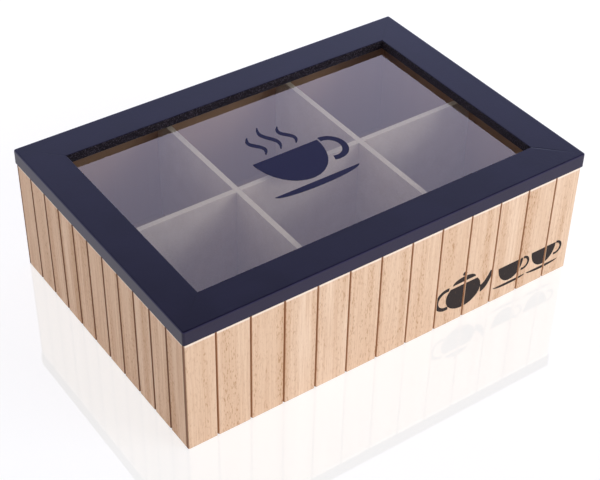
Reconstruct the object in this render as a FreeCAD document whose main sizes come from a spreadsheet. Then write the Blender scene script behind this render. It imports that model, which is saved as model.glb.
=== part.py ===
"""Wooden tea box: six compartments under a hinged lid with a glass pane.

Frame: +X runs along the front, the front faces -Y, +Z is up, and the origin is the middle of the
underside. All sizes are millimetres and live in the sheet named sizes.
"""

import FreeCAD
import Part

import math
import os
import re

import Sketcher

SIZES = [
    ("box_width", 238.4, "outside of the box along X"),
    ("box_depth", 163.4, "outside of the box along Y"),
    ("wall_height", 67.0, "height of the four side panels"),
    ("wall_thick", 6.0, "thickness of the side panels"),
    ("wall_corner_round", 0.8, "eased upright corners of the box"),
    ("wall_edge_chamfer", 0.5, "eased top edge of the side panels"),
    ("groove_width", 1.3, "V groove between two slats"),
    ("groove_depth", 1.2, "depth of the V groove"),
    ("front_groove_count", 12, "grooves on the front and on the back"),
    ("front_end_slat", 16.6, "corner to the first groove, front and back"),
    ("side_groove_count", 10, "grooves on each end panel"),
    ("side_end_slat", 15.8, "corner to the first groove, end panels"),
    ("bottom_thick", 3.0, "bottom board, flush with the panels' lower edges"),
    ("bottom_rabbet", 3.0, "width of the step that takes the bottom board"),
    ("bottom_clear", 0.2, "play of the bottom board in its step"),
    ("divider_thick", 3.0, "thickness of the divider boards"),
    ("divider_drop", 0.5, "divider tops below the panels' upper edges"),
    ("divider_clear", 0.1, "play of the dividers between the panels"),
    ("lap_clear", 0.1, "play on each side of a lap slot, and at its end"),
    ("lid_overhang", 0.8, "lid past the box at the front and the ends"),
    ("lid_thick", 8.0, "thickness of the lid frame"),
    ("rail_width", 20.0, "width of a lid rail, seen from above"),
    ("rail_corner_round", 1.2, "eased upright corners of the lid"),
    ("rail_edge_round", 0.8, "rounded top edge of the lid"),
    ("rail_inner_chamfer", 0.5, "eased top edge around the pane"),
    ("pane_depth", 5.0, "pane below the top of the lid"),
    ("pane_thick", 2.0, "thickness of the glass pane"),
    ("pane_rabbet", 4.0, "width of the step that takes the pane"),
    ("pane_clear", 0.4, "play of the pane in its step"),
    ("bead_reach", 1.6, "glue bead, from the step's wall over the pane"),
    ("bead_foot", 0.3, "width of the glue bead at its lower edge"),
    ("bead_height", 0.8, "height of the glue bead under the pane"),
    ("hinge_inset", 44.6, "middle of a hinge from the end of the box, screws between grooves"),
    ("hinge_length", 20.0, "length of a hinge along its pin"),
    ("leaf_reach", 6.6, "height of a hinge leaf from the pin's axis"),
    ("leaf_thick", 0.8, "thickness of a hinge leaf"),
    ("leaf_corner_round", 0.8, "rounded free corners of a leaf"),
    ("knuckle_diam", 3.0, "outside of the hinge barrel"),
    ("knuckle_standoff", 0.3, "barrel off the back of the box"),
    ("knuckle_gap", 0.15, "end play between two knuckles"),
    ("notch_clear", 0.4, "leaf notch around the other leaf's knuckle"),
    ("pin_diam", 1.4, "hinge pin"),
    ("pin_clear", 0.05, "running clearance of the pin, on the radius"),
    ("pin_head_diam", 2.4, "peened pin head, where it meets the barrel"),
    ("pin_head_flat", 1.4, "end face of the pin head"),
    ("pin_head_thick", 0.5, "height of the pin head"),
    ("screw_spacing", 11.0, "between the two screws of a leaf"),
    ("screw_offset", 4.2, "screws from the pin's axis"),
    ("screw_diam", 1.6, "screw shank"),
    ("screw_head_diam", 2.8, "countersunk screw head"),
    ("screw_length", 5.0, "screw from head to tip"),
    ("screw_clear", 0.05, "screw holes, on the radius"),
    ("screw_slot_width", 0.4, "cross recess in the screw head"),
    ("screw_slot_length", 1.8, "span of the cross recess"),
    ("screw_slot_depth", 0.4, "depth of the cross recess"),
]
ALIASES = {alias for alias, value, note in SIZES}

# Sizes that follow from the driving ones
INNER_WIDTH = "(box_width - 2 * wall_thick)"
INNER_DEPTH = "(box_depth - 2 * wall_thick)"
LID_WIDTH = "(box_width + 2 * lid_overhang)"
LID_DEPTH = "(box_depth + lid_overhang)"
LID_MIDDLE_Y = "(-lid_overhang / 2)"
DIVIDER_HEIGHT = "(wall_height - divider_drop - bottom_thick)"
CROSS_DIVIDER_X = f"(({INNER_WIDTH} - 2 * divider_thick) / 6 + divider_thick / 2)"
LAP_WIDTH = "(divider_thick + 2 * lap_clear)"
PANE_LOW = "(lid_thick - pane_depth - pane_thick)"
STEP_WIDTH = f"({LID_WIDTH} - 2 * rail_width + 2 * pane_rabbet)"
STEP_DEPTH = f"({LID_DEPTH} - 2 * rail_width + 2 * pane_rabbet)"
AXIS_OUT = "(knuckle_standoff + knuckle_diam / 2)"
KNUCKLE = "(hinge_length / 3)"
NOTCH = f"(sqrt((knuckle_diam / 2 + notch_clear)^2 - ({AXIS_OUT} - leaf_thick)^2))"
DIAGONAL_EASE = "(1 - sqrt(1 / 2))"
QUARTER_TURN = 90

doc = FreeCAD.newDocument("tea_box")
sheet = doc.addObject("Spreadsheet::Sheet", "sizes")


def tied(expression):
    """The expression with each size's name made a reference to its cell."""
    return re.sub(r"[a-z_]+", lambda m: f"sizes.{m[0]}" if m[0] in ALIASES else m[0], expression)


def worth(expression):
    """The present value of an expression in millimetres."""
    return float(sheet.evalExpression(tied(expression)))


def fill_sheet():
    """Write the driving sizes, each with its alias and a note."""
    for row, (alias, value, note) in enumerate(SIZES, start=1):
        sheet.set(f"A{row}", alias)
        sheet.set(f"B{row}", str(value))
        sheet.setAlias(f"B{row}", alias)
        sheet.set(f"C{row}", note)
    doc.recompute()


def new_body(label):
    """An empty body with its own label."""
    body = doc.addObject("PartDesign::Body", label)
    body.Label = label
    return body


def place(thing, x="0", y="0", z="0", turn=0):
    """Stand a sub-part at a tied place, turned about Z by whole quarter turns."""
    thing.Placement = FreeCAD.Placement(
        FreeCAD.Vector(), FreeCAD.Rotation(FreeCAD.Vector(0, 0, 1), turn * QUARTER_TURN)
    )
    for axis, expression in zip("xyz", (x, y, z)):
        thing.setExpression(f"Placement.Base.{axis}", tied(expression))


def hold_point(sketch, geometry, which, x, y):
    """Tie one point of a sketch to its two coordinates."""
    for kind, axis, expression in (("DistanceX", -2, x), ("DistanceY", -1, y)):
        if expression == "0":
            sketch.addConstraint(Sketcher.Constraint("PointOnObject", geometry, which, axis))
            continue
        index = sketch.addConstraint(
            Sketcher.Constraint(kind, -1, 1, geometry, which, worth(expression))
        )
        sketch.setExpression(f"Constraints[{index}]", tied(expression))


def draw_circle(sketch, x, y, radius):
    """Add a circle tied to its middle and radius."""
    middle = FreeCAD.Vector(worth(x), worth(y), 0)
    geometry = sketch.addGeometry(Part.Circle(middle, FreeCAD.Vector(0, 0, 1), worth(radius)))
    index = sketch.addConstraint(Sketcher.Constraint("Radius", geometry, worth(radius)))
    sketch.setExpression(f"Constraints[{index}]", tied(radius))
    hold_point(sketch, geometry, 3, x, y)


def draw_loop(sketch, corners):
    """Add a closed outline, counter-clockwise.

    A corner is (x, y), or (x, y, middle x, middle y, radius) where an arc leads on from it.
    """
    edges = []
    for corner, following in zip(corners, corners[1:] + corners[:1]):
        start = FreeCAD.Vector(worth(corner[0]), worth(corner[1]), 0)
        end = FreeCAD.Vector(worth(following[0]), worth(following[1]), 0)
        if len(corner) == 2:
            edges.append(sketch.addGeometry(Part.LineSegment(start, end)))
            continue
        middle = FreeCAD.Vector(worth(corner[2]), worth(corner[3]), 0)
        circle = Part.Circle(middle, FreeCAD.Vector(0, 0, 1), worth(corner[4]))
        angles = [math.atan2(p.y - middle.y, p.x - middle.x) for p in (start, end)]
        edges.append(sketch.addGeometry(Part.ArcOfCircle(circle, *angles)))
    for edge, following in zip(edges, edges[1:] + edges[:1]):
        sketch.addConstraint(Sketcher.Constraint("Coincident", edge, 2, following, 1))
    for edge, corner in zip(edges, corners):
        hold_point(sketch, edge, 1, corner[0], corner[1])
        if len(corner) > 2:
            index = sketch.addConstraint(Sketcher.Constraint("Radius", edge, worth(corner[4])))
            sketch.setExpression(f"Constraints[{index}]", tied(corner[4]))


def add_sketch(body, name, plane, loops=(), circles=(), lift=None):
    """A sketch on one of the body's own planes, lifted off it where a height is given."""
    sketch = body.newObject("Sketcher::SketchObject", name)
    support = next(part for part in body.Origin.OriginFeatures if part.Role == plane)
    sketch.AttachmentSupport = [(support, "")]
    sketch.MapMode = "FlatFace"
    if lift:
        sketch.setExpression("AttachmentOffset.Base.z", tied(lift))
    for corners in loops:
        draw_loop(sketch, corners)
    for x, y, radius in circles:
        draw_circle(sketch, x, y, radius)
    return sketch


def rectangle(x_low, x_high, y_low, y_high):
    """The corners of a rectangle, counter-clockwise."""
    return [(x_low, y_low), (x_high, y_low), (x_high, y_high), (x_low, y_high)]


def pad(body, sketch, length, symmetric=False):
    """Raise a sketch into a solid."""
    feature = body.newObject("PartDesign::Pad", f"{sketch.Name}_pad")
    feature.Profile = sketch
    feature.SideType = "Symmetric" if symmetric else "One side"
    feature.setExpression("Length", tied(length))
    doc.recompute()
    return feature


def pocket(body, sketch, length=None, along_normal=False):
    """Cut a sketch out of the body, to a depth or right through both ways."""
    before = body.Shape.Volume
    feature = body.newObject("PartDesign::Pocket", f"{sketch.Name}_cut")
    feature.Profile = sketch
    if length:
        feature.setExpression("Length", tied(length))
        feature.Reversed = along_normal
    else:
        feature.Type = "ThroughAll"
        feature.SideType = "Symmetric"
    doc.recompute()
    if body.Shape.Volume >= before:
        raise RuntimeError(f"{body.Label}: {sketch.Name} cuts nothing")
    return feature


def soften(body, kind, wanted, size):
    """Chamfer or round the edges that a test picks out."""
    base = body.Tip
    names = [f"Edge{i}" for i, edge in enumerate(base.Shape.Edges, start=1) if wanted(edge)]
    if not names:
        raise RuntimeError(f"{body.Label}: no edge to soften")
    feature = body.newObject(f"PartDesign::{kind}", f"{body.Name}_{kind.lower()}")
    feature.Base = (base, names)
    feature.setExpression("Radius" if kind == "Fillet" else "Size", tied(size))
    doc.recompute()


def mitred_outline(length, width, ease):
    """Plan of a board mitred at both ends, outer face on y = 0, with eased outer corners."""
    run = f"({length} / 2 - {ease})"
    tip_x = f"({length} / 2 - {ease} * {DIAGONAL_EASE})"
    tip_y = f"({ease} * {DIAGONAL_EASE})"
    heel = f"({length} / 2 - {width})"
    return [
        (f"-{run}", "0"),
        (run, "0", run, ease, ease),
        (tip_x, tip_y),
        (heel, width),
        (f"-{heel}", width),
        (f"-{tip_x}", tip_y, f"-{run}", ease, ease),
    ]


def top_outer_edges(height, ease):
    """A test for the top edges of a mitred board's outer face and eased corners."""
    top = worth(height)
    reach = worth(f"{ease} * {DIAGONAL_EASE}") + 1e-6

    def wanted(edge):
        points = [vertex.Point for vertex in edge.Vertexes]
        return all(abs(p.z - top) < 1e-6 and p.y < reach for p in points)

    return wanted


def hinge_screw_rows(z):
    """Sketch circles for the screw holes of both hinges at one height."""
    radius = "(screw_diam / 2 + screw_clear)"
    return [
        (f"({side} * (box_width / 2 - hinge_inset) + {end} * screw_spacing / 2)", z, radius)
        for side in (-1, 1)
        for end in (-1, 1)
    ]


def side_panel(label, length, grooves, end_slat, x, y, turn):
    """A mitred panel with V grooves outside and a step for the bottom board inside."""
    body = new_body(label)
    plan = mitred_outline(length, "wall_thick", "wall_corner_round")
    pad(body, add_sketch(body, f"{label}_plan", "XY_Plane", [plan]), "wall_height")
    limit = "min(wall_edge_chamfer; 0.7 * wall_corner_round)"
    soften(body, "Chamfer", top_outer_edges("wall_height", "wall_corner_round"), limit)
    step = rectangle(f"-{length} / 2", f"{length} / 2", "(wall_thick - bottom_rabbet)", "wall_thick")
    pocket(body, add_sketch(body, f"{label}_step", "XY_Plane", [step]), "bottom_thick", True)
    first = f"({end_slat} - {length} / 2)"
    groove = [
        (f"({first} - groove_width / 2)", "0"),
        (f"({first} + groove_width / 2)", "0"),
        (first, "groove_depth"),
    ]
    cut = pocket(body, add_sketch(body, f"{label}_groove", "XY_Plane", [groove]))
    rows = body.newObject("PartDesign::LinearPattern", f"{label}_grooves")
    rows.Originals = [cut]
    along = next(part for part in body.Origin.OriginFeatures if part.Role == "X_Axis")
    rows.Direction = (along, [""])
    rows.setExpression("Length", tied(f"{length} - 2 * {end_slat}"))
    rows.setExpression("Occurrences", tied(grooves))
    body.Tip = rows
    place(body, x, y, "0", turn)
    return body


def make_box():
    """The four grooved panels, the bottom board and the screw holes for the hinges."""
    front = ("box_width", "front_groove_count", "front_end_slat")
    end = ("box_depth", "side_groove_count", "side_end_slat")
    back = side_panel("back_panel", *front, "0", "box_depth / 2", 2)
    holes = hinge_screw_rows("(wall_height - screw_offset)")
    sketch = add_sketch(back, "back_panel_holes", "XZ_Plane", circles=holes)
    pocket(back, sketch, "screw_length")
    board = doc.addObject("Part::Box", "bottom_panel")
    board.Label = "bottom_panel"
    width = f"({INNER_WIDTH} + 2 * bottom_rabbet - 2 * bottom_clear)"
    depth = f"({INNER_DEPTH} + 2 * bottom_rabbet - 2 * bottom_clear)"
    board.setExpression("Length", tied(width))
    board.setExpression("Width", tied(depth))
    board.setExpression("Height", tied("bottom_thick"))
    place(board, f"-{width} / 2", f"-{depth} / 2")
    return [
        side_panel("front_panel", *front, "0", "-box_depth / 2", 0),
        back,
        side_panel("left_panel", *end, "-box_width / 2", "0", 3),
        side_panel("right_panel", *end, "box_width / 2", "0", 1),
        board,
    ]


def make_dividers():
    """One long board with slots from above, and two cross boards with a slot from below."""
    height = DIVIDER_HEIGHT
    long_half = f"({INNER_WIDTH} / 2 - divider_clear)"
    slot = [f"({CROSS_DIVIDER_X} - {LAP_WIDTH} / 2)", f"({CROSS_DIVIDER_X} + {LAP_WIDTH} / 2)"]
    sill = f"({height} / 2 - lap_clear)"
    long_side = [
        (f"-{long_half}", "0"), (long_half, "0"), (long_half, height),
        (slot[1], height), (slot[1], sill), (slot[0], sill), (slot[0], height),
        (f"-{slot[0]}", height), (f"-{slot[0]}", sill), (f"-{slot[1]}", sill), (f"-{slot[1]}", height),
        (f"-{long_half}", height),
    ]
    long_board = new_body("long_divider")
    sketch = add_sketch(long_board, "long_divider_side", "XZ_Plane", [long_side])
    pad(long_board, sketch, "divider_thick", symmetric=True)
    place(long_board, z="bottom_thick")
    boards = [long_board]
    cross_half = f"({INNER_DEPTH} / 2 - divider_clear)"
    notch = f"({LAP_WIDTH} / 2)"
    head = f"({height} / 2 + lap_clear)"
    cross_side = [
        (f"-{cross_half}", "0"), (f"-{notch}", "0"), (f"-{notch}", head), (notch, head),
        (notch, "0"), (cross_half, "0"), (cross_half, height), (f"-{cross_half}", height),
    ]
    for label, sign in (("left_cross_divider", "-"), ("right_cross_divider", "")):
        body = new_body(label)
        sketch = add_sketch(body, f"{label}_side", "YZ_Plane", [cross_side])
        pad(body, sketch, "divider_thick", symmetric=True)
        place(body, f"{sign}{CROSS_DIVIDER_X}", "0", "bottom_thick")
        boards.append(body)
    return boards


def lid_rail(label, length, x, y, turn):
    """A mitred lid rail: rounded outside, with a step below for the pane."""
    body = new_body(label)
    plan = mitred_outline(length, "rail_width", "rail_corner_round")
    pad(body, add_sketch(body, f"{label}_plan", "XY_Plane", [plan]), "lid_thick")
    limit = "min(rail_edge_round; 0.7 * rail_corner_round)"
    soften(body, "Fillet", top_outer_edges("lid_thick", "rail_corner_round"), limit)
    inner, top = worth("rail_width"), worth("lid_thick")
    soften(
        body, "Chamfer",
        lambda edge: all(
            abs(v.Point.y - inner) < 1e-6 and abs(v.Point.z - top) < 1e-6 for v in edge.Vertexes
        ),
        "rail_inner_chamfer",
    )
    seat = "(rail_width - pane_rabbet)"
    step = rectangle(f"-{length} / 2", f"{length} / 2", seat, "rail_width")
    sketch = add_sketch(body, f"{label}_step", "XY_Plane", [step])
    pocket(body, sketch, "(lid_thick - pane_depth)", True)
    place(body, x, y, "wall_height", turn)
    return body


def make_lid():
    """The four mitred rails and the pane between them."""
    back = lid_rail("lid_back_rail", LID_WIDTH, "0", "box_depth / 2", 2)
    sketch = add_sketch(back, "lid_back_rail_holes", "XZ_Plane", circles=hinge_screw_rows("screw_offset"))
    pocket(back, sketch, "screw_length")
    pane = doc.addObject("Part::Box", "glass_pane")
    pane.Label = "glass_pane"
    width = f"({STEP_WIDTH} - 2 * pane_clear)"
    depth = f"({STEP_DEPTH} - 2 * pane_clear)"
    pane.setExpression("Length", tied(width))
    pane.setExpression("Width", tied(depth))
    pane.setExpression("Height", tied("pane_thick"))
    place(pane, f"-{width} / 2", f"{LID_MIDDLE_Y} - {depth} / 2", f"wall_height + {PANE_LOW}")
    return [
        lid_rail("lid_front_rail", LID_WIDTH, "0", "-(box_depth / 2 + lid_overhang)", 0),
        back,
        lid_rail("lid_left_rail", LID_DEPTH, f"-{LID_WIDTH} / 2", LID_MIDDLE_Y, 3),
        lid_rail("lid_right_rail", LID_DEPTH, f"{LID_WIDTH} / 2", LID_MIDDLE_Y, 1),
        pane,
    ]


def hinge_leaf(label, x, up):
    """A stamped leaf rolled into knuckles: the lid's leaf has the middle one, the box's the others."""
    body = new_body(label)
    sign = "" if up else "-"
    shoulder = f"sqrt((knuckle_diam / 2)^2 - ({AXIS_OUT} - leaf_thick)^2)"
    roll = (AXIS_OUT, "0", "knuckle_diam / 2")
    if up:
        side = [
            ("0", "0"), ("knuckle_standoff", "0", *roll), ("leaf_thick", shoulder),
            ("leaf_thick", "leaf_reach"), ("0", "leaf_reach"),
        ]
    else:
        side = [
            ("0", "0"), ("0", "-leaf_reach"), ("leaf_thick", "-leaf_reach"),
            ("leaf_thick", f"-{shoulder}", *roll), ("knuckle_standoff", "0"),
        ]
    pad(body, add_sketch(body, f"{label}_side", "YZ_Plane", [side]), "hinge_length", symmetric=True)
    reach, outer = worth(f"{sign}leaf_reach"), worth("leaf_thick")
    soften(
        body, "Fillet",
        lambda edge: all(abs(v.Point.z - reach) < 1e-6 for v in edge.Vertexes)
        and abs(edge.Length - outer) < 1e-6,
        "leaf_corner_round",
    )
    near, far = f"({KNUCKLE} / 2 - knuckle_gap / 2)", f"({KNUCKLE} / 2 + knuckle_gap / 2)"
    beyond, end = "knuckle_diam", "hinge_length"
    low, high = (f"-{beyond}", NOTCH) if up else (f"-{NOTCH}", beyond)
    gaps = (
        [rectangle(f"-{end}", f"-{near}", low, high), rectangle(near, end, low, high)]
        if up
        else [rectangle(f"-{far}", far, low, high)]
    )
    pocket(body, add_sketch(body, f"{label}_gaps", "XZ_Plane", gaps))
    bore = [(AXIS_OUT, "0", "(pin_diam / 2 + pin_clear)")]
    pocket(body, add_sketch(body, f"{label}_bore", "YZ_Plane", circles=bore))
    holes = [
        (f"({end} * screw_spacing / 2)", f"{sign}screw_offset", "(screw_diam / 2 + screw_clear)")
        for end in (-1, 1)
    ]
    pocket(body, add_sketch(body, f"{label}_holes", "XZ_Plane", circles=holes))
    soften(
        body, "Chamfer",
        lambda edge: edge.Curve.TypeId == "Part::GeomCircle"
        and abs(edge.Curve.Axis.y) > 0.9
        and edge.isClosed()
        and abs(edge.Vertexes[0].Point.y - outer) < 1e-6,
        "(screw_head_diam - screw_diam) / 2",
    )
    place(body, x, "box_depth / 2", "wall_height")
    return body


def hinge_pin(label, x):
    """A pin with a peened, tapered head at each end."""
    body = new_body(label)
    half, end = "(hinge_length / 2)", "(hinge_length / 2 + pin_head_thick)"
    side = [
        (f"-{end}", "0"),
        (end, "0"),
        (end, "pin_head_flat / 2"),
        (half, "pin_head_diam / 2"),
        (half, "pin_diam / 2"),
        (f"-{half}", "pin_diam / 2"),
        (f"-{half}", "pin_head_diam / 2"),
        (f"-{end}", "pin_head_flat / 2"),
    ]
    sketch = add_sketch(body, f"{label}_side", "XY_Plane", [side])
    turned = body.newObject("PartDesign::Revolution", f"{label}_turned")
    turned.Profile = sketch
    turned.ReferenceAxis = (sketch, ["H_Axis"])
    turned.Angle = 360
    place(body, x, f"box_depth / 2 + {AXIS_OUT}", "wall_height")
    return body


def screw_body():
    """One countersunk screw, its head flush with y = 0 and its tip towards -Y."""
    body = new_body("screw_form")
    side = [
        ("0", "0"),
        ("0", "-screw_length"),
        ("screw_diam / 2", "(screw_diam - screw_length)"),
        ("screw_diam / 2", "-(screw_head_diam - screw_diam) / 2"),
        ("screw_head_diam / 2", "0"),
    ]
    sketch = add_sketch(body, "screw_side", "XY_Plane", [side])
    turned = body.newObject("PartDesign::Revolution", "screw_turned")
    turned.Profile = sketch
    turned.ReferenceAxis = (sketch, ["V_Axis"])
    turned.Angle = 360
    doc.recompute()
    arm, half = "screw_slot_length / 2", "screw_slot_width / 2"
    cross = [
        (f"-{arm}", f"-{half}"), (f"-{half}", f"-{half}"), (f"-{half}", f"-{arm}"), (half, f"-{arm}"),
        (half, f"-{half}"), (arm, f"-{half}"), (arm, half), (half, half),
        (half, arm), (f"-{half}", arm), (f"-{half}", half), (f"-{arm}", half),
    ]
    pocket(body, add_sketch(body, "screw_cross", "XZ_Plane", [cross]), "screw_slot_depth", True)
    return body


def group(label, master, places):
    """One sub-part made of separate copies of a small solid."""
    copies = []
    for x, y, z, turn in places:
        copy = master.copy()
        spot = FreeCAD.Vector(worth(x), worth(y), worth(z))
        turned = FreeCAD.Rotation(FreeCAD.Vector(0, 0, 1), turn * QUARTER_TURN)
        copy.Placement = FreeCAD.Placement(spot, turned)
        copies.append(copy)
    thing = doc.addObject("Part::Feature", label)
    thing.Label = label
    thing.Shape = Part.makeCompound(copies)
    return thing


def make_hinges():
    """Two butt hinges on the back, with their pins and screws."""
    parts = []
    for name, side in (("left", -1), ("right", 1)):
        x = f"({side} * (box_width / 2 - hinge_inset))"
        parts.append(hinge_leaf(f"{name}_hinge_box_leaf", x, up=False))
        parts.append(hinge_leaf(f"{name}_hinge_lid_leaf", x, up=True))
        parts.append(hinge_pin(f"{name}_hinge_pin", x))
    screw = screw_body()
    for label, sign in (("hinge_box_screws", "-"), ("hinge_lid_screws", "+")):
        height = f"(wall_height {sign} screw_offset)"
        places = [(x, "(box_depth / 2 + leaf_thick)", height, 0) for x, z, radius in hinge_screw_rows("0")]
        parts.append(group(label, screw.Shape, places))
    return parts


def make_pane_bead():
    """The glue bead that holds the pane: a ring in the corner under it, sloping inside."""
    body = new_body("pane_bead")
    rings = []
    for inset in ("0", "bead_foot"):
        half_width, half_depth = f"({STEP_WIDTH} / 2 - {inset})", f"({STEP_DEPTH} / 2 - {inset})"
        rings.append(rectangle(f"-{half_width}", half_width, f"-{half_depth}", half_depth))
    pad(body, add_sketch(body, "pane_bead_plan", "XY_Plane", rings[:1]), "bead_height")
    inside = pocket(body, add_sketch(body, "pane_bead_slope", "XY_Plane", rings[1:]), "bead_height", True)
    inside.setExpression("TaperAngle", tied("-atan((bead_reach - bead_foot) / bead_height)"))
    doc.recompute()
    place(body, "0", LID_MIDDLE_Y, f"wall_height + {PANE_LOW} - bead_height")
    return body


def write_parts(parts):
    """Check every object and sub-part, then write one file per sub-part."""
    doc.recompute()
    for thing in doc.Objects:
        if {"Invalid", "Error"} & set(thing.State):
            raise RuntimeError(f"{thing.Label} failed: {thing.State}")
    for part in parts:
        if part.Shape.isNull() or not part.Shape.isValid():
            raise RuntimeError(f"{part.Label} has no valid shape")
    os.makedirs("parts", exist_ok=True)
    for part in parts:
        part.Shape.exportStep(f"parts/{part.Label}.step")
        print(f"{part.Label}: {len(part.Shape.Solids)} solid(s), {part.Shape.Volume:.1f} mm3")


fill_sheet()
write_parts(make_box() + make_dividers() + make_lid() + [make_pane_bead()] + make_hinges())
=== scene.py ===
"""Looks of the wooden tea box: its finishes, its prints, the studio and the camera.

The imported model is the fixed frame. Every length below is in metres unless its name ends in _mm.
"""

import logging
import math
from dataclasses import dataclass
from enum import Enum
from typing import Any, Callable

import bmesh
import bpy
from mathutils import Matrix, Vector


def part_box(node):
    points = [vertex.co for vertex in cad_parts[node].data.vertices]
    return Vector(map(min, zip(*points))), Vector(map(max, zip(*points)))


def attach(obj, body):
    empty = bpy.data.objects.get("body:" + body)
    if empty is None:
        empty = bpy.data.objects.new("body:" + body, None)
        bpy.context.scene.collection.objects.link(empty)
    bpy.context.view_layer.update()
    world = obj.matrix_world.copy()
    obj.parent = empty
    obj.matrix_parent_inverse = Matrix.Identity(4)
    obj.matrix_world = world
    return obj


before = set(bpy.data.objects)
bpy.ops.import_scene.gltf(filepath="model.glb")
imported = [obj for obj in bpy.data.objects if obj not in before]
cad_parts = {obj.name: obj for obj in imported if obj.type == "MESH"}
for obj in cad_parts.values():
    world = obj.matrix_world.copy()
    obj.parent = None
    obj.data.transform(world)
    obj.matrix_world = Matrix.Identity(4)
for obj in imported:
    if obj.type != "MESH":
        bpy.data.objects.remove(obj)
LOG = logging.getLogger("tea_box")
MM = 0.001
Shade = tuple[int, int, int]
Linear = tuple[float, float, float, float]
Triple = tuple[float, float, float]
Point = tuple[float, float]


def rgb(red: int, green: int, blue: int) -> Linear:
    """A display colour, 0 to 255, as the linear colour that a shader takes.

    Args:
        red: red part of the display colour.
        green: green part.
        blue: blue part.

    Returns:
        Linear red, green and blue, with an alpha of 1.
    """
    parts = [part / 255 for part in (red, green, blue)]
    linear = [p / 12.92 if p <= 0.04045 else ((p + 0.055) / 1.055) ** 2.4 for p in parts]
    return (linear[0], linear[1], linear[2], 1.0)


class Socket:
    """One output of a shader node, so that shader maths reads as Python expressions."""

    def __init__(self, recipe: "Recipe", link: bpy.types.NodeSocket) -> None:
        """Keep the recipe that the socket belongs to, and the socket itself."""
        self.recipe = recipe
        self.link = link

    def other(self, name: str) -> "Socket":
        """Another output of the same node, by its name."""
        return Socket(self.recipe, self.link.node.outputs[name])

    def maths(self, operation: str, first: Any, second: Any = 0.0) -> "Socket":
        """The result of one Math node."""
        return self.recipe.add("ShaderNodeMath", {"operation": operation}, {0: first, 1: second})

    def __add__(self, term: Any) -> "Socket":
        """Sum with a number or a socket."""
        return self.maths("ADD", self, term)

    __radd__ = __add__

    def __sub__(self, term: Any) -> "Socket":
        """Difference, this socket first."""
        return self.maths("SUBTRACT", self, term)

    def __rsub__(self, term: Any) -> "Socket":
        """Difference, this socket second."""
        return self.maths("SUBTRACT", term, self)

    def __mul__(self, term: Any) -> "Socket":
        """Product with a number or a socket."""
        return self.maths("MULTIPLY", self, term)

    __rmul__ = __mul__

    def __truediv__(self, term: Any) -> "Socket":
        """Quotient, this socket first."""
        return self.maths("DIVIDE", self, term)

    def __rtruediv__(self, term: Any) -> "Socket":
        """Quotient, this socket second."""
        return self.maths("DIVIDE", term, self)

    def __abs__(self) -> "Socket":
        """Distance from zero."""
        return self.maths("ABSOLUTE", self)

    def floor(self) -> "Socket":
        """The whole number below."""
        return self.maths("FLOOR", self)

    def fraction(self) -> "Socket":
        """What is left above the whole number."""
        return self.maths("FRACT", self)

    def least(self, term: Any) -> "Socket":
        """The smaller of two values."""
        return self.maths("MINIMUM", self, term)

    def most(self, term: Any) -> "Socket":
        """The larger of two values."""
        return self.maths("MAXIMUM", self, term)

    def rise(self, low: float, high: float) -> "Socket":
        """A smooth step from 0 at low to 1 at high.

        Args:
            low: value at which the step starts.
            high: value at which it ends.

        Returns:
            The step as a socket.
        """
        settings = {"interpolation_type": "SMOOTHSTEP"}
        values = {"Value": self, "From Min": low, "From Max": high}
        return self.recipe.add("ShaderNodeMapRange", settings, values)


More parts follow.
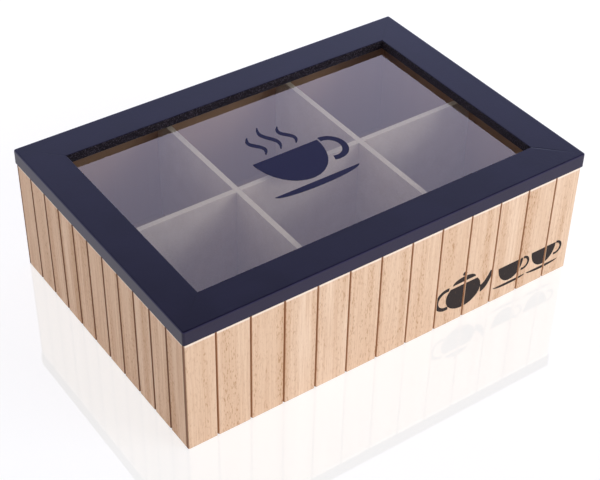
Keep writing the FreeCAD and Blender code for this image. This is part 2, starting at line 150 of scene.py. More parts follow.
class Recipe:
    """The node tree of one material or world."""

    def __init__(self, owner: bpy.types.ID) -> None:
        """Empty the owner's node tree and take it over.

        Args:
            owner: the material or world.
        """
        owner.use_nodes = True
        self.tree = owner.node_tree
        self.tree.nodes.clear()

    @staticmethod
    def pick(sockets: Any, key: str | int) -> bpy.types.NodeSocket:
        """A socket by its number, its identifier or its name.

        Args:
            sockets: a node's inputs or outputs.
            key: what to look for.

        Returns:
            The socket.
        """
        if isinstance(key, int):
            return sockets[key]
        exact = [socket for socket in sockets if socket.identifier == key]
        return exact[0] if exact else sockets[key]

    def add(self, kind: str, settings: dict[str, Any], values: dict[str | int, Any],
            out: str | int = 0) -> Socket:
        """Add a node.

        Args:
            kind: the node's type.
            settings: its own settings, which are set first.
            values: numbers, colours or sockets for its inputs.
            out: the output to return.

        Returns:
            The chosen output.
        """
        node = self.tree.nodes.new(kind)
        for name, setting in settings.items():
            setattr(node, name, setting)
        for key, value in values.items():
            target = self.pick(node.inputs, key)
            if isinstance(value, Socket):
                self.tree.links.new(value.link, target)
            else:
                target.default_value = value
        return Socket(self, self.pick(node.outputs, out) if node.outputs else None)

    def place(self) -> tuple[Socket, Socket, Socket]:
        """The surface point's X, Y and Z in the part's frame."""
        point = self.add("ShaderNodeTexCoord", {}, {}, "Object")
        axes = self.add("ShaderNodeSeparateXYZ", {}, {"Vector": point})
        return axes.other("X"), axes.other("Y"), axes.other("Z")

    def vector(self, x: Any, y: Any, z: Any) -> Socket:
        """Three values as one vector."""
        return self.add("ShaderNodeCombineXYZ", {}, {"X": x, "Y": y, "Z": z})

    def noise(self, point: tuple[Socket, Socket, Socket], cells: Triple, detail: float = 4.0,
              rough: float = 0.55) -> Socket:
        """Cloudy noise.

        Args:
            point: three coordinates in metres.
            cells: cells of the noise per metre along each of them.
            detail: number of finer layers.
            rough: strength of the finer layers.

        Returns:
            Values around 0.5.
        """
        where = self.vector(*(part * count for part, count in zip(point, cells)))
        values = {"Vector": where, "Scale": 1.0, "Detail": detail, "Roughness": rough}
        return self.add("ShaderNodeTexNoise", {}, values, "Fac")

    def mix(self, share: Any, first: Any, second: Any) -> Socket:
        """Blend two colours.

        Args:
            share: how much of the second colour shows.
            first: first colour or socket.
            second: second colour or socket.

        Returns:
            The blended colour.
        """
        values = {"Factor_Float": share, "A_Color": first, "B_Color": second}
        return self.add("ShaderNodeMix", {"data_type": "RGBA"}, values, "Result_Color")

    def bump(self, height: Socket, depth: float, strength: float = 1.0) -> Socket:
        """A normal from a height pattern.

        Args:
            height: pattern from 0 to 1.
            depth: real height of the pattern in metres.
            strength: share of the effect.

        Returns:
            The normal.
        """
        values = {"Height": height, "Distance": depth, "Strength": strength}
        return self.add("ShaderNodeBump", {}, values)

    def principled(self, values: dict[str | int, Any]) -> Socket:
        """A Principled shader with the given inputs."""
        return self.add("ShaderNodeBsdfPrincipled", {}, values)

    def end(self, shader: Socket, kind: str = "ShaderNodeOutputMaterial") -> None:
        """Lead a shader to the output."""
        self.add(kind, {}, {"Surface": shader})


class Finish:
    """What every finish can do: make its material once and give it out."""

    def material(self, name: str) -> bpy.types.Material:
        """The finish as a material.

        Args:
            name: the material's name.

        Returns:
            A new material.
        """
        made = bpy.data.materials.new(name)
        self.fill(Recipe(made))
        return made

    def fill(self, recipe: Recipe) -> None:
        """Write the finish's nodes."""
        raise NotImplementedError


@dataclass(frozen=True)
class Mark:
    """Marks on a surface: the stretch of a pattern where they come up, their strength and colour."""

    low: float
    high: float
    share: float
    shade: Shade

    def over(self, recipe: Recipe, pattern: Socket, ground: Any, strength: Any = 1.0) -> Socket:
        """The ground with the marks on it.

        Args:
            recipe: the material's recipe.
            pattern: where the marks are, from 0 to 1.
            ground: colour or socket underneath.
            strength: factor on the marks' own strength.

        Returns:
            The colour.
        """
        share = pattern.rise(self.low, self.high) * self.share * strength
        return recipe.mix(share, ground, rgb(*self.shade))


class Run(Enum):
    """The axis along which a panel's slats follow each other."""

    ALONG_X = "x"
    ALONG_Y = "y"


@dataclass(frozen=True)
class SlatWood(Finish):
    """Pale open-pored wood, scorched brown in the grooves between its slats, with painted shade on its
    inner faces and a painted highlight along its top edge.
    """

    run: Run
    half_run: float
    half_depth: float
    first_groove: float
    pitch: float
    groove_width: float
    groove_depth: float
    wall: float
    top: float
    scorch_and_shade: Shade
    scorch_and_shade_reach: float
    figure: float
    seed: float
    light_slat: Shade = (243, 217, 192)
    dark_slat: Shade = (232, 202, 174)
    band: Mark = Mark(0.42, 0.72, 0.5, (206, 167, 132))
    streak: Mark = Mark(0.38, 0.70, 0.65, (219, 184, 154))
    fibre: Mark = Mark(0.5, 0.75, 0.3, (200, 164, 133))
    band_cells: Triple = (120, 60, 4)
    streak_cells: Triple = (1100, 500, 22)
    fibre_cells: Triple = (2600, 1500, 120)
    pore_cells: Triple = (1900, 900, 480)
    # Painted shade: the inner faces of the panels are darkened towards this colour, for the shade inside
    # the box.
    inside: Shade = (158, 115, 84)
    inside_shade_share: float = 0.75
    inside_grain: float = 0.35
    pore: Shade = (172, 120, 74)
    pore_share: float = 0.7
    # Painted highlight: a near-white band along the top of the outer faces, for the edge catching light.
    edge_highlight: Shade = (255, 244, 232)
    edge_highlight_share: float = 0.7
    highlight_from: float = 2.4 * MM
    highlight_to: float = 1.8 * MM
    scorch_and_shade_share: float = 0.92
    glue_line: Shade = (120, 82, 56)
    glue_line_share: float = 0.6
    relief: float = 0.12 * MM

    def fill(self, recipe: Recipe) -> None:
        """Grain, pores, slat tones, painted shade on the inner faces, a painted highlight along the upper
        edge, scorched grooves and the mitres' glue lines; on the side panels the grooves' darker colour is
        partly painted shade.
        """
        x, y, z = recipe.place()
        across, through = (x, y) if self.run is Run.ALONG_X else (y, x)
        point = across + self.seed, through, z
        depth = self.half_depth - abs(through)
        outer = 1 - depth.rise(0.5 * self.wall, 0.9 * self.wall)
        grain = self.inside_grain + (1 - self.inside_grain) * outer
        tone = self.slat_tone(recipe, across)
        bands = recipe.noise(point, self.band_cells, 3.0)
        streaks = recipe.noise(point, self.streak_cells, 5.0, 0.6)
        fibres = recipe.noise(point, self.fibre_cells, 2.0, 0.6)
        pores = self.pores(recipe, point, bands, tone)
        pale = recipe.mix(tone, rgb(*self.light_slat), rgb(*self.dark_slat))
        warm = self.streak.over(recipe, streaks, pale, self.figure * grain)
        banded = self.band.over(recipe, bands, warm, self.figure * grain)
        fine = self.fibre.over(recipe, fibres, banded, grain)
        # Painted shade on the inner faces.
        shaded_inside = recipe.mix((1 - outer) * self.inside_shade_share, fine, rgb(*self.inside))
        pored = recipe.mix(pores * self.pore_share * grain, shaded_inside, rgb(*self.pore))
        # Painted highlight along the upper edge of the outer face.
        highlight_band = outer * z.rise(self.top - self.highlight_from, self.top - self.highlight_to)
        highlighted = recipe.mix(highlight_band * self.edge_highlight_share, pored, rgb(*self.edge_highlight))
        # Groove colour: scorch, and on the side panels also painted shade of the groove.
        groove = self.groove(across, depth) * self.scorch_and_shade_share
        grooves_darkened = recipe.mix(groove, highlighted, rgb(*self.scorch_and_shade))
        seam = self.seam(across, depth) * outer * self.glue_line_share
        height = streaks * 0.35 + fibres * 0.25 + (1 - pores) * 0.35
        recipe.end(recipe.principled({
            "Base Color": recipe.mix(seam, grooves_darkened, rgb(*self.glue_line)),
            "Roughness": 0.58 + streaks * 0.14,
            "Specular IOR Level": 0.35,
            "Normal": recipe.bump(height, self.relief, 0.8),
        }))

    def pores(self, recipe: Recipe, point: tuple[Socket, Socket, Socket], bands: Socket,
              tone: Socket) -> Socket:
        """Short dark dashes, denser in the bands and on darker slats.

        Args:
            recipe: the material's recipe.
            point: coordinates across, through and up the slats.
            bands: the pattern of bands.
            tone: the slat's own tone.

        Returns:
            The mask.
        """
        dashes = recipe.noise(point, self.pore_cells, 1.0, 0.4).rise(0.55, 0.70)
        return dashes * (0.25 + 0.75 * bands.rise(0.42, 0.62)) * (0.55 + 0.45 * tone)

    def slat_tone(self, recipe: Recipe, across: Socket) -> Socket:
        """A tone of its own for each slat.

        Args:
            recipe: the material's recipe.
            across: the coordinate across the slats.

        Returns:
            A value from 0 to 1, even over a slat.
        """
        slat = ((across - self.first_groove) / self.pitch).floor()
        settings = {"noise_dimensions": "1D"}
        return recipe.add("ShaderNodeTexWhiteNoise", settings, {"W": slat + self.seed * 37}, "Value")

    def groove(self, across: Socket, depth: Socket) -> Socket:
        """1 in the grooves of the outer face.

        Args:
            across: the coordinate across the slats.
            depth: how far the point lies behind the outer face.

        Returns:
            The mask.
        """
        cell = ((across - self.first_groove) / self.pitch + 0.5).fraction()
        distance = abs(cell - 0.5) * self.pitch
        outside = 1 - depth.rise(1.05 * self.groove_depth, 1.3 * self.groove_depth)
        reach = self.scorch_and_shade_reach * self.groove_width
        return (1 - distance.rise(0.7 * reach, reach)) * outside

    def seam(self, across: Socket, depth: Socket) -> Socket:
        """1 on the thin glue line of the mitred corners.

        Args:
            across: the coordinate across the slats.
            depth: how far the point lies behind the outer face.

        Returns:
            The mask.
        """
        offset = abs(self.half_run - abs(across) - depth)
        return 1 - offset.rise(0.1 * MM, 0.28 * MM)


@dataclass(frozen=True)
class PlainBoard(Finish):
    """Thin fibre board with a pale veneer: dividers and bottom."""

    light: Shade
    dark: Shade
    # Painted light: the colour of the top face, paler as if lit from above.
    lit_top: Shade
    lit_top_above: float
    cloud_cells: Triple = (60, 60, 60)
    fibre_cells: Triple = (700, 700, 1500)
    relief: float = 0.08 * MM

    def fill(self, recipe: Recipe) -> None:
        """Soft clouds and short fibres, and a paler top face as painted light from above."""
        point = recipe.place()
        clouds = recipe.noise(point, self.cloud_cells, 3.0)
        fibres = recipe.noise(point, self.fibre_cells, 4.0, 0.6)
        share = clouds.rise(0.3, 0.7) * 0.5 + fibres.rise(0.4, 0.7) * 0.5
        board = recipe.mix(share, rgb(*self.light), rgb(*self.dark))
        # Painted light: the top face is blended towards the paler top colour.
        edge = point[2].rise(self.lit_top_above - 0.1 * MM, self.lit_top_above)
        recipe.end(recipe.principled({
            "Base Color": recipe.mix(edge * (1 - 0.4 * fibres), board, rgb(*self.lit_top)),
            "Roughness": 0.62 + fibres * 0.15,
            "Specular IOR Level": 0.3,
            "Normal": recipe.bump(fibres, self.relief, 0.6),
        }))


@dataclass(frozen=True)
class LidPaint(Finish):
    """Dark blue satin paint over mitred rails, thinner and duller on the inner edges."""

    half_width: float
    half_depth: float
    middle_y: float
    rail_width: float
    light: Shade = (26, 23, 51)
    dark: Shade = (21, 18, 44)
    crack: Shade = (3, 3, 6)
    crack_share: float = 0.95
    shut_corner: float = 0.25
    open_corner_from: float = 120 * MM
    open_corner_to: float = 160 * MM
    thin_dark: Shade = (20, 16, 20)
    # Painted glints: pale specks on the grit of the inner edges, for glossy paint catching light.
    glint_speck: Shade = (70, 65, 73)
    cloud_cells: Triple = (45, 45, 45)
    peel_cells: Triple = (900, 900, 900)
    grit_cells: Triple = (1300, 1300, 1300)
    relief: float = 0.3 * MM

    def fill(self, recipe: Recipe) -> None:
        """Paint with a faint orange peel, the mitre seams and gritty inner edges, whose pale specks are
        painted glints.
        """
        point = recipe.place()
        x, y, _ = point
        in_x = self.half_width - abs(x)
        in_y = self.half_depth - abs(y - self.middle_y)
        inward = in_x.least(in_y)
        clouds = recipe.noise(point, self.cloud_cells, 3.0)
        peel = recipe.noise(point, self.peel_cells, 3.0)
        grit = recipe.noise(point, self.grit_cells, 2.0, 0.7)
        wide_open = (x - y).rise(self.open_corner_from, self.open_corner_to)
        opened = self.shut_corner + (1 - self.shut_corner) * wide_open
        mitre = 1 - abs(in_x - in_y).rise(0.2 * MM, 0.75 * MM)
        seam = mitre * inward.rise(0.0, self.rail_width) * opened
        inner = inward.rise(self.rail_width - 0.45 * MM, self.rail_width - 0.15 * MM)
        paint = recipe.mix(clouds.rise(0.3, 0.7), rgb(*self.dark), rgb(*self.light))
        height = peel * (1 - inner) * 0.12 + grit * inner - seam * 0.3
        normal = recipe.bump(height, self.relief, 0.8)
        satin = recipe.principled({
            "Base Color": recipe.mix(seam * self.crack_share, paint, rgb(*self.crack)),
            "Roughness": 0.36 + clouds * 0.06,
            "Specular IOR Level": 0.34,
            "Specular Tint": (1.0, 0.9, 1.06, 1.0),
            "Normal": normal,
        })
        thin = recipe.principled({
            # Painted glints on the grit's high spots.
            "Base Color": recipe.mix(grit.rise(0.45, 0.7), rgb(*self.thin_dark), rgb(*self.glint_speck)),
            "Roughness": 0.3 + grit * 0.2,
            "Specular IOR Level": 0.1,
            "Normal": normal,
        })
        recipe.end(recipe.add("ShaderNodeMixShader", {}, {0: inner, 1: satin, 2: thin}))


@dataclass(frozen=True)
class PaneGlass(Finish):
    """Clear window glass: it mirrors its surroundings by the angle and lets the rest through."""

    index: float
    both_faces: float
    through: Linear = (0.95, 0.965, 0.96, 1.0)
    mirrored: Linear = (0.94, 0.90, 1.0, 1.0)

    def fill(self, recipe: Recipe) -> None:
        """A clear film with a mirror whose share follows the angle of view."""
        facing = recipe.add("ShaderNodeNewGeometry", {}, {}, "Backfacing")
        fresnel = recipe.add("ShaderNodeFresnel", {}, {"IOR": self.index})
        share = (fresnel * self.both_faces * (1 - facing)).least(1.0)
        clear = recipe.add("ShaderNodeBsdfTransparent", {}, {"Color": self.through})
        polish = {"Color": self.mirrored, "Roughness": 0.0}
        mirror = recipe.add("ShaderNodeBsdfAnisotropic", {}, polish)
        recipe.end(recipe.add("ShaderNodeMixShader", {}, {0: share, 1: clear, 2: mirror}))


@dataclass(frozen=True)
class PaneGlue(Finish):
    """Set glue, dull and a little lumpy."""

    light: Shade
    dark: Shade
    lump_cells: Triple = (420, 420, 420)
    relief: float = 0.3 * MM

    def fill(self, recipe: Recipe) -> None:
        """Cloudy colour over soft lumps."""
        lumps = recipe.noise(recipe.place(), self.lump_cells, 3.0)
        recipe.end(recipe.principled({
            "Base Color": recipe.mix(lumps.rise(0.3, 0.7), rgb(*self.light), rgb(*self.dark)),
            "Roughness": 0.4 + lumps * 0.15,
            "Normal": recipe.bump(lumps, self.relief, 0.7),
        }))


@dataclass(frozen=True)
class Metal(Finish):
    """Plated metal with fine brushing and a little tarnish."""

    bright: Shade
    dull: Shade
    roughness: float
    brush_cells: Triple = (300, 6000, 6000)
    tarnish_cells: Triple = (350, 350, 350)
    relief: float = 0.02 * MM

    def fill(self, recipe: Recipe) -> None:
        """Brushing along X and cloudy tarnish."""
        point = recipe.place()
        brush = recipe.noise(point, self.brush_cells, 3.0)
        clouds = recipe.noise(point, self.tarnish_cells, 4.0)
        recipe.end(recipe.principled({
            "Base Color": recipe.mix(clouds.rise(0.35, 0.75), rgb(*self.bright), rgb(*self.dull)),
            "Metallic": 1.0,
            "Roughness": self.roughness + brush * 0.12 + clouds * 0.1,
            "Normal": recipe.bump(brush, self.relief, 0.5),
        }))


@dataclass(frozen=True)
class PrintInk(Finish):
    """Screen-printed ink with a slightly uneven film."""

    colour: Shade
    worn: Shade
    speck_cells: Triple = (1100, 1100, 400)

    def fill(self, recipe: Recipe) -> None:
        """Ink that thins out in small specks."""
        specks = recipe.noise(recipe.place(), self.speck_cells, 3.0, 0.6)
        recipe.end(recipe.principled({
            "Base Color": recipe.mix(specks.rise(0.55, 0.8), rgb(*self.colour), rgb(*self.worn)),
            "Roughness": 0.5 + specks * 0.1,
            "Specular IOR Level": 0.15,
        }))


def dress(node: str, finish: bpy.types.Material) -> None:
    """Give a node of the frame its finish.

    Args:
        node: the node's name.
        finish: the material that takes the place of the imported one.
    """
    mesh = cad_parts[node].data
    mesh.materials.clear()
    mesh.materials.append(finish)
    LOG.info("dressed %s with %s", node, finish.name)


@dataclass
class Carcass:
    """The four grooved panels and the bottom board."""

    front_end_slat: float = 16.6 * MM
    front_grooves: int = 12
    side_end_slat: float = 15.8 * MM
    side_grooves: int = 10
    groove_width: float = 1.3 * MM
    groove_depth: float = 1.2 * MM
    wall: float = 6 * MM
    front_scorch: Shade = (172, 123, 82)
    front_scorch_reach: float = 0.46
    # Side grooves: scorch plus painted shade; the darker colour and wider reach stand for the groove's
    # shaded flank seen at a slant.
    side_scorch_and_shade: Shade = (122, 78, 48)
    side_scorch_and_shade_reach: float = 0.72
    front_figure: float = 1.05
    side_figure: float = 1.5
    bottom_light: Shade = (196, 162, 131)
    bottom_dark: Shade = (170, 134, 104)
    # Colour of the bottom board's top face, in the slot for the painted top light.
    bottom_top_tone: Shade = (188, 152, 120)

    def wood(self, run: Run, seed: float) -> SlatWood:
        """The slatted wood of one panel.

        Args:
            run: the axis along which the slats follow each other.
            seed: moves the grain, so that no two panels match.

        Returns:
            The finish.
        """
        half_x, half_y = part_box("right_panel")[1][0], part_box("back_panel")[1][1]
        if run is Run.ALONG_X:
            half_run, half_depth = half_x, half_y
            end, count = self.front_end_slat, self.front_grooves
            scorch_and_shade, reach, figure = self.front_scorch, self.front_scorch_reach, self.front_figure
        else:
            half_run, half_depth = half_y, half_x
            end, count = self.side_end_slat, self.side_grooves
            scorch_and_shade, reach, figure = self.side_scorch_and_shade, self.side_scorch_and_shade_reach, self.side_figure
        pitch = 2 * (half_run - end) / (count - 1)
        return SlatWood(run, half_run, half_depth, end - half_run, pitch,
                        self.groove_width, self.groove_depth, self.wall,
                        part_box("front_panel")[1][2], scorch_and_shade, reach, figure, seed)

    def groove_places(self) -> list[float]:
        """Where the front's grooves lie along X."""
        wood = self.wood(Run.ALONG_X, 0.0)
        return [wood.first_groove + wood.pitch * i for i in range(self.front_grooves)]

    def finish(self) -> None:
        """Dress the panels and the bottom board."""
        panels = {
            "front_panel": (Run.ALONG_X, 0.31),
            "back_panel": (Run.ALONG_X, 2.77),
            "left_panel": (Run.ALONG_Y, 1.43),
            "right_panel": (Run.ALONG_Y, 3.59),
        }
        for node, (run, seed) in panels.items():
            dress(node, self.wood(run, seed).material(f"{node}_wood"))
        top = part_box("bottom_panel")[1][2]
        board = PlainBoard(self.bottom_light, self.bottom_dark, self.bottom_top_tone, top)
        dress("bottom_panel", board.material("bottom_board"))


@dataclass
class DividerInsert:
    """The crossed divider boards."""

    light: Shade = (230, 214, 200)
    dark: Shade = (212, 192, 174)
    # Painted light: the paler colour of the boards' top edges, as if lit from above.
    lit_top: Shade = (255, 239, 220)

    def finish(self) -> None:
        """Dress the three boards."""
        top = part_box("long_divider")[1][2]
        board = PlainBoard(self.light, self.dark, self.lit_top, top).material("divider_board")
        for node in ("long_divider", "left_cross_divider", "right_cross_divider"):
            dress(node, board)


@dataclass
class GlazedLid:
    """The painted lid frame with its pane."""

    rail_width: float = 20 * MM
    glass_index: float = 1.5
    glass_both_faces: float = 2.2
    glue_light: Shade = (196, 192, 186)
    glue_dark: Shade = (170, 164, 156)

    def finish(self) -> None:
        """Dress the rails, the pane and its glue bead."""
        half_width = -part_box("lid_left_rail")[0][0]
        front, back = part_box("lid_front_rail")[0][1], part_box("lid_back_rail")[1][1]
        paint = LidPaint(half_width, (back - front) / 2, (front + back) / 2, self.rail_width)
        finish = paint.material("lid_paint")
        for side in ("front", "back", "left", "right"):
            dress(f"lid_{side}_rail", finish)
        dress("glass_pane", PaneGlass(self.glass_index, self.glass_both_faces).material("pane_glass"))
        dress("pane_bead", PaneGlue(self.glue_light, self.glue_dark).material("pane_glue"))


@dataclass
class HingePair:
    """The two butt hinges on the back."""

    roughness: float = 0.2
    leaf_bright: Shade = (222, 184, 112)
    leaf_dull: Shade = (176, 136, 76)
    pin_bright: Shade = (206, 190, 150)
    pin_dull: Shade = (160, 140, 104)
    screw_bright: Shade = (214, 176, 108)
    screw_dull: Shade = (160, 122, 70)

    def finish(self) -> None:
        """Dress leaves, pins and screws."""
        brass = Metal(self.leaf_bright, self.leaf_dull, self.roughness).material("hinge_brass")
        pin = Metal(self.pin_bright, self.pin_dull, self.roughness).material("hinge_pin")
        for side in ("left", "right"):
            dress(f"{side}_hinge_box_leaf", brass)
            dress(f"{side}_hinge_lid_leaf", brass)
            dress(f"{side}_hinge_pin", pin)
        screws = Metal(self.screw_bright, self.screw_dull, self.roughness).material("screw_brass")
        dress("hinge_box_screws", screws)
        dress("hinge_lid_screws", screws)


def arc(middle: Point, radii: Point, start: float, end: float, steps: int = 28) -> list[Point]:
    """Points along an elliptic arc.

    Args:
        middle: the arc's middle.
        radii: its two radii.
        start: first angle in degrees.
        end: last angle in degrees.
        steps: number of steps.

    Returns:
        The points, ends included.
    """
    angles = [math.radians(start + (end - start) * i / steps) for i in range(steps + 1)]
    return [(middle[0] + radii[0] * math.cos(a), middle[1] + radii[1] * math.sin(a)) for a in angles]


def ribbon(centre: list[Point], width: Callable[[float], float]) -> list[Point]:
    """The outline of a stroke.

    Args:
        centre: points along the middle of the stroke.
        width: the stroke's width at a share of its length.

    Returns:
        The outline's points in order.
    """
    left, right = [], []
    last = len(centre) - 1
    for i, (x, y) in enumerate(centre):
        before, after = centre[max(i - 1, 0)], centre[min(i + 1, last)]
        along = Vector((after[0] - before[0], after[1] - before[1])).normalized()
        half = width(i / last) / 2
        left.append((x - along.y * half, y + along.x * half))
        right.append((x + along.y * half, y - along.x * half))
    return left + right[::-1]


@dataclass
class Motif:
    """Flat printed shapes in millimetres, each a closed outline."""

    outlines: list[list[Point]]

    def moved(self, x: float, y: float, size: float = 1.0) -> "Motif":
        """The motif at another place and size.

        Args:
            x: new place along the print.
            y: new place up the print.
            size: factor on its size.

        Returns:
            The moved copy.
        """
        return Motif([[(x + px * size, y + py * size) for px, py in loop] for loop in self.outlines])

    def joined(self, *others: "Motif") -> "Motif":
        """This motif together with others."""
        return Motif(self.outlines + [loop for other in others for loop in other.outlines])


def cup_motif() -> Motif:
    """A cup on a saucer 44 mm wide, seen from the side, standing on y = 0."""
    bowl = arc((0, 28), (17, 22), 180, 360)
    handle = ribbon(arc((18, 20), (7, 7.5), -110, 92), lambda share: 3.0)
    saucer = arc((0, 3.6), (22, 3.6), 180, 360)
    return Motif([bowl, handle, saucer])


def steam_motif() -> Motif:
    """Three rising curls, the middle one 19 mm high."""
    curls = []
    for place, height in ((-8, 15), (0, 19), (8, 15)):
        centre = [
            (place + 1.9 * math.sin(i / 24 * 2 * math.pi), height * i / 24) for i in range(25)
        ]
        curls.append(ribbon(centre, lambda share: 0.5 + 2.0 * math.sin(math.pi * share)))
    return Motif(curls)


def pot_motif() -> Motif:
    """A round teapot, seen from the side, standing on y = 0."""
    belly = arc((0, 9.4), (11.5, 9.4), 40, -220, 44)
    cover = arc((0, 17.2), (7.6, 3.4), 0, 180)
    knob = arc((0, 22.3), (1.5, 1.3), 0, 350)
    spout = ribbon(
        [(11.6 + 7.2 * t, 6.8 + 9.0 * t * t) for t in [i / 14 for i in range(15)]],
        lambda share: 5.2 - 3.0 * share,
    )
    handle = ribbon(arc((-11.2, 10.0), (6.4, 6.2), 78, 282), lambda share: 2.2)
    return Motif([belly, cover, knob, spout, handle])


@dataclass
class Print:
    """A screen print: a thin film of ink on a surface of the box."""

    name: str
    body: str
    slot: str
    thickness: float = 0.03 * MM

    def build(self, motif: Motif, placed: Matrix, gaps: list[tuple[float, float]],
              ink: bpy.types.Material) -> bpy.types.Object:
        """Make the film and let it ride on its body.

        Args:
            motif: the shapes.
            placed: from the print's own plane, in metres, to the frame.
            gaps: stretches along the print that stay bare, in the print's own X.
            ink: its material.

        Returns:
            The new piece.
        """
        shape = bmesh.new()
        for loop in motif.outlines:
            corners = [shape.verts.new((px * MM, py * MM, 0)) for px, py in loop]
            shape.faces.new(corners)
        bmesh.ops.triangulate(shape, faces=shape.faces[:])
        for low, high in gaps:
            for edge in (low, high):
                everything = shape.verts[:] + shape.edges[:] + shape.faces[:]
                bmesh.ops.bisect_plane(shape, geom=everything, plane_co=(edge, 0, 0), plane_no=(1, 0, 0))
            inside = [f for f in shape.faces if low < f.calc_center_median().x < high]
            bmesh.ops.delete(shape, geom=inside, context="FACES")
        bmesh.ops.recalc_face_normals(shape, faces=shape.faces[:])
        for face in shape.faces:
            if face.normal.z < 0:
                face.normal_flip()
        grown = bmesh.ops.extrude_face_region(shape, geom=shape.faces[:])
        tops = [item for item in grown["geom"] if isinstance(item, bmesh.types.BMVert)]
        bmesh.ops.translate(shape, verts=tops, vec=(0, 0, self.thickness))
        bmesh.ops.recalc_face_normals(shape, faces=shape.faces[:])
        shape.transform(placed)
        mesh = bpy.data.meshes.new(self.name)
        shape.to_mesh(mesh)
        shape.free()
        mesh.materials.append(ink)
        piece = bpy.data.objects.new(self.name, mesh)
        bpy.context.scene.collection.objects.link(piece)
        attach(piece, self.body)
        LOG.info("printed %s with %d faces", self.name, len(mesh.polygons))
        return piece


@dataclass
class Prints:
    """The cup on the pane and the row of tea things on the front."""

    pane_middle: Point = (-3 * MM, -24 * MM)
    pane_size: float = 1.18
    steam_foot_mm: float = 31
    front_left: float = 46 * MM
    front_foot: float = 7 * MM
    front_cups_mm: tuple[float, ...] = (32, 55)
    front_cup_size: float = 0.5
    bare_share: float = 0.55
    film_gap: float = 0.01 * MM
    pane_ink: Shade = (40, 40, 78)
    pane_ink_worn: Shade = (48, 48, 88)
    front_ink: Shade = (44, 36, 34)
    front_ink_worn: Shade = (86, 66, 54)

    def finish(self, carcass: Carcass) -> None:
        """Build both prints.

        Args:
            carcass: gives the grooves that the front's print leaves bare.
        """
        navy = PrintInk(self.pane_ink, self.pane_ink_worn).material("pane_ink")
        cup = cup_motif().joined(steam_motif().moved(0, self.steam_foot_mm))
        glass_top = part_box("glass_pane")[1][2]
        flat = Matrix.Translation((*self.pane_middle, glass_top + self.film_gap))
        Print("pane_print", "lid", "lid_paint").build(cup.moved(0, 0, self.pane_size), flat, [], navy)
        dark = PrintInk(self.front_ink, self.front_ink_worn).material("front_ink")
        cups = [cup_motif().moved(place, 0, self.front_cup_size) for place in self.front_cups_mm]
        row = pot_motif().joined(*cups)
        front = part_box("front_panel")[0][1] - self.film_gap
        upright = Matrix.Translation((self.front_left, front, self.front_foot))
        upright @= Matrix.Rotation(math.radians(90), 4, "X")
        half = carcass.groove_width * self.bare_share
        gaps = [(x - self.front_left - half, x - self.front_left + half) for x in carcass.groove_places()]
        Print("front_print", "box", "lid_paint").build(row, upright, gaps, dark)


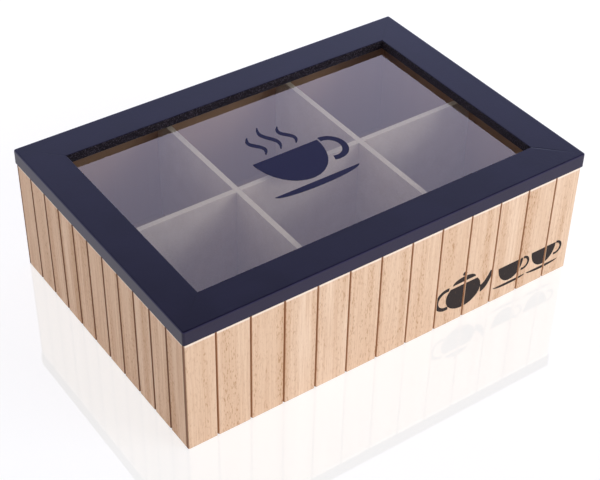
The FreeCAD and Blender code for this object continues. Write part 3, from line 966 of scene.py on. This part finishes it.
@dataclass
class Studio:
    """Pale floor, white surroundings and one soft lamp."""

    floor_half: float = 3.0
    floor_drop: float = 0.2 * MM
    sky_low: float = 1.5
    sky_high: float = 0.2
    sky_tint: Linear = (1.05, 0.985, 0.975, 1.0)
    mirror_low: float = 1.2
    mirror_high: float = 0.9
    sheen_low: float = 1.6
    sheen_high: float = 0.0
    sheen_tint: Linear = (0.9, 1.0, 1.5, 1.0)
    mirror_tint: Linear = (0.92, 0.93, 1.16, 1.0)
    floor_glow: float = 0.7
    floor_matt: Linear = (0.84, 0.84, 0.84, 1.0)
    floor_seen: Linear = (0.39, 0.4, 0.41, 1.0)
    floor_index: float = 2.0
    lamp_place: Triple = (0.85, -1.25, 0.55)
    lamp_side: float = 1.0
    lamp_power: float = 11.4
    lamp_colour: Triple = (0.97, 1.0, 1.03)
    lamp_aim: Triple = (0.0, 0.0, 0.04)

    def build(self) -> None:
        """Make the floor, the world and the lamp."""
        self.floor()
        self.world()
        self.lamp()

    def floor(self) -> None:
        """A large pale floor that the camera and mirrors see white and polished."""
        mesh = bpy.data.meshes.new("floor")
        half, low = self.floor_half, -self.floor_drop
        mesh.from_pydata([(-half, -half, low), (half, -half, low), (half, half, low), (-half, half, low)],
                         [], [(0, 1, 2, 3)])
        floor = bpy.data.objects.new("floor", mesh)
        bpy.context.scene.collection.objects.link(floor)
        material = bpy.data.materials.new("floor_white")
        recipe = Recipe(material)
        rays = recipe.add("ShaderNodeLightPath", {}, {}, "Is Camera Ray")
        seen = rays.most(rays.other("Is Glossy Ray"))
        pale = recipe.add("ShaderNodeBsdfDiffuse", {}, {"Color": self.floor_matt})
        polish = {"Base Color": self.floor_seen, "Roughness": 0.0, "IOR": self.floor_index}
        glow = recipe.add("ShaderNodeEmission", {}, {"Strength": self.floor_glow})
        bright = recipe.add("ShaderNodeAddShader", {}, {0: recipe.principled(polish), 1: glow})
        recipe.end(recipe.add("ShaderNodeMixShader", {}, {0: seen, 1: pale, 2: bright}))
        mesh.materials.append(material)

    def world(self) -> None:
        """White to the camera, almost white in clear mirrors, and darker overhead as light and sheen."""
        world = bpy.data.worlds.new("studio")
        bpy.context.scene.world = world
        recipe = Recipe(world)
        rays = recipe.add("ShaderNodeLightPath", {}, {}, "Is Camera Ray")
        mirrored = rays.other("Is Glossy Ray").most(rays.other("Is Transmission Ray"))
        point = recipe.add("ShaderNodeTexCoord", {}, {}, "Generated")
        height = recipe.add("ShaderNodeSeparateXYZ", {}, {"Vector": point}).other("Z")
        sharp = rays.other("Is Singular Ray")
        clear = self.mirror_low - height.rise(0.48, 0.8) * (self.mirror_low - self.mirror_high)
        sheen = self.sheen_low - height.rise(0.35, 0.7) * (self.sheen_low - self.sheen_high)
        mirror = sharp * clear + (1 - sharp) * sheen
        sky = self.sky_low - height.rise(0.1, 0.7) * (self.sky_low - self.sky_high)
        lit = rays + (1 - rays) * (mirrored * mirror + (1 - mirrored) * sky)
        gloss = recipe.mix(sharp, self.sheen_tint, self.mirror_tint)
        light = recipe.mix(mirrored, self.sky_tint, gloss)
        colour = recipe.mix(rays, light, (1.0, 1.0, 1.0, 1.0))
        shader = recipe.add("ShaderNodeBackground", {}, {"Color": colour, "Strength": lit})
        recipe.end(shader, "ShaderNodeOutputWorld")

    def lamp(self) -> None:
        """A square soft lamp that points at the box and isn't mirrored in its glass."""
        data = bpy.data.lights.new("key_lamp", "AREA")
        data.size = self.lamp_side
        data.energy = self.lamp_power
        data.color = self.lamp_colour
        lamp = bpy.data.objects.new("key_lamp", data)
        lamp.location = self.lamp_place
        lamp.visible_glossy = False
        aim = Vector(self.lamp_aim) - Vector(self.lamp_place)
        lamp.rotation_euler = aim.to_track_quat("-Z", "Y").to_euler()
        bpy.context.scene.collection.objects.link(lamp)


@dataclass
class PhotoCamera:
    """The photograph's point of view."""

    turn: float = -35.82
    rise: float = 39.32
    distance: float = 0.79015
    target: Triple = (0.01265, 0.01588, 0.0)
    roll: float = 1.27
    focal_px: float = 1431.9
    image_width_px: float = 600.0
    sensor_mm: float = 36.0

    def build(self) -> None:
        """Stand the camera and make it the scene's own."""
        turn, rise = math.radians(self.turn), math.radians(self.rise)
        back = Vector((math.sin(turn) * math.cos(rise), -math.cos(turn) * math.cos(rise), math.sin(rise)))
        data = bpy.data.cameras.new("photo_camera")
        data.sensor_width = self.sensor_mm
        data.sensor_fit = "HORIZONTAL"
        data.lens = self.focal_px / self.image_width_px * self.sensor_mm
        data.clip_start = 0.01
        camera = bpy.data.objects.new("photo_camera", data)
        rotation = (-back).to_track_quat("-Z", "Y").to_matrix().to_4x4()
        rolled = rotation @ Matrix.Rotation(math.radians(self.roll), 4, "Z")
        camera.matrix_world = Matrix.Translation(Vector(self.target) + back * self.distance) @ rolled
        bpy.context.scene.collection.objects.link(camera)
        bpy.context.scene.camera = camera


def main() -> None:
    """Dress the frame, add the prints, the studio and the camera."""
    logging.basicConfig(level=logging.INFO, format="%(name)s: %(message)s")
    bpy.context.scene.view_settings.view_transform = "Standard"
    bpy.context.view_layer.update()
    carcass = Carcass()
    carcass.finish()
    DividerInsert().finish()
    GlazedLid().finish()
    HingePair().finish()
    Prints().finish(carcass)
    Studio().build()
    PhotoCamera().build()


if __name__ == "__main__":
    main()
